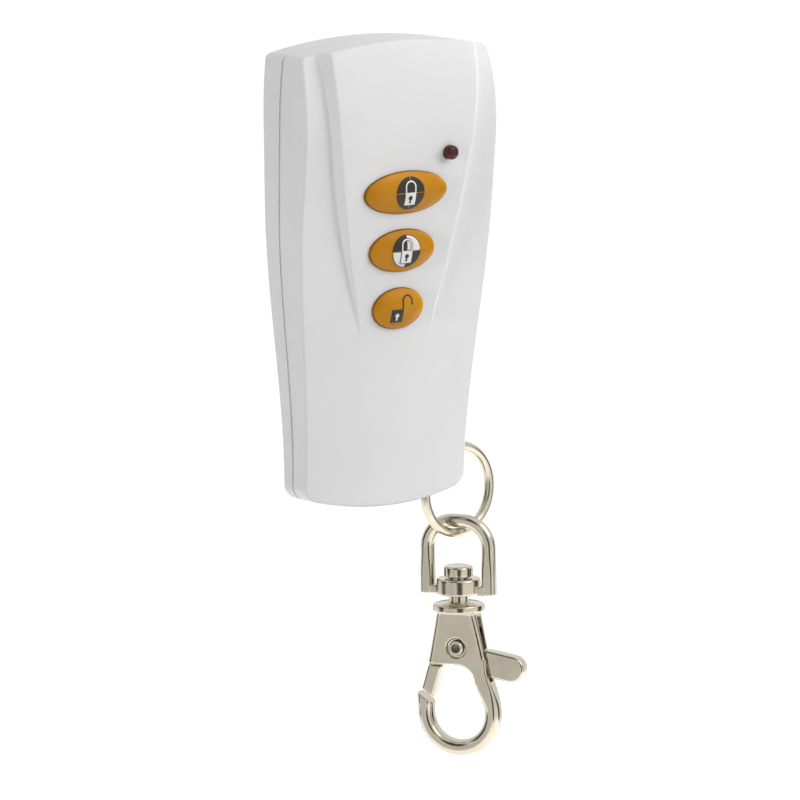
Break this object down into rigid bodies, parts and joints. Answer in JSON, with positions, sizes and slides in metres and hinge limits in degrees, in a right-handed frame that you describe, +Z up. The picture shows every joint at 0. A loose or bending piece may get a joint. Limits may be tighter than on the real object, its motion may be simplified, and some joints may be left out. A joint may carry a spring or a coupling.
{
  "type": "alarm key fob",
  "caption": "Wedge-shaped white handheld alarm remote with domed amber buttons and an indicator lamp, on a key ring with a swivel trigger snap hook.",
  "frame": {"origin": "middle of the flat back of the case", "axes": "+X to the right seen from the front, +Y out of the back, +Z up along the case"},
  "size_m": [0.0421, 0.0188, 0.1167],
  "materials": {
    "case_white": "fine spark-eroded moulded texture",
    "button_amber": "clear gloss, see-through amber",
    "switch_black": "matt moulded",
    "board_green": "solder mask",
    "lamp_red": "smooth dark red lens",
    "tinned_steel": "tinned sheet and wire",
    "battery_sleeve": "printed sleeve left plain",
    "chip_black": "matt moulded",
    "resonator_gold": "plated lid",
    "component_tan": "fired ceramic",
    "nickel": "bright nickel plate"
  },
  "bodies": {
    "case": {"front_cover": "case_white", "rear_cover": "case_white", "arm_switch": "switch_black", "part_arm_switch": "switch_black", "disarm_switch": "switch_black", "main_board": "board_green", "led_lamp": "lamp_red", "led_leads": "tinned_steel", "battery": "battery_sleeve", "positive_contact": "tinned_steel", "negative_contact": "tinned_steel", "encoder_chip": "chip_black", "saw_resonator": "resonator_gold", "chip_components": "component_tan", "case_screws": "tinned_steel"},
    "arm_press": {"arm_button": "button_amber", "arm_plunger": "switch_black"},
    "part_arm_press": {"part_arm_button": "button_amber", "part_arm_plunger": "switch_black"},
    "disarm_press": {"disarm_button": "button_amber", "disarm_plunger": "switch_black"},
    "ring": {"key_ring": "nickel"},
    "bail": {"swivel_bail": "nickel"},
    "hook": {"hook_body": "nickel", "swivel_rivet": "nickel", "trigger_pin": "nickel", "trigger_spring": "tinned_steel"},
    "trigger": {"trigger_lever": "nickel"}
  },
  "joints": [
    {"name": "arm_press_travel", "type": "slide", "parent": "case", "child": "arm_press", "axis": [0, 1, 0], "range_m": [0, 0.00035], "stiffness_N_per_m": 2000, "springref_m": -0.0002},
    {"name": "part_arm_press_travel", "type": "slide", "parent": "case", "child": "part_arm_press", "axis": [0, 1, 0], "range_m": [0, 0.00035], "stiffness_N_per_m": 2000, "springref_m": -0.0002},
    {"name": "disarm_press_travel", "type": "slide", "parent": "case", "child": "disarm_press", "axis": [0, 1, 0], "range_m": [0, 0.00035], "stiffness_N_per_m": 2000, "springref_m": -0.0002},
    {"name": "ring_swing", "type": "hinge", "parent": "case", "child": "ring", "pos_m": [0.01635, -0.0025, -0.03045], "axis": [-0.1564, 0.9877, 0], "range_deg": [-20, 20]},
    {"name": "bail_swing", "type": "hinge", "parent": "ring", "child": "bail", "pos_m": [0.01635, -0.0025, -0.0437], "axis": [0.9877, 0.1564, 0], "range_deg": [-35, 35]},
    {"name": "hook_swivel", "type": "hinge", "parent": "bail", "child": "hook", "pos_m": [0.01635, -0.0025, -0.05225], "axis": [0, 0, 1], "continuous": true},
    {"name": "trigger_pivot", "type": "hinge", "parent": "hook", "child": "trigger", "pos_m": [0.01635, -0.0025, -0.06215], "axis": [-0.809, -0.5878, 0], "range_deg": [0, 25], "stiffness_Nm_per_rad": 0.01, "springref_deg": -17.19, "deforming": ["trigger_spring"]}
  ]
}
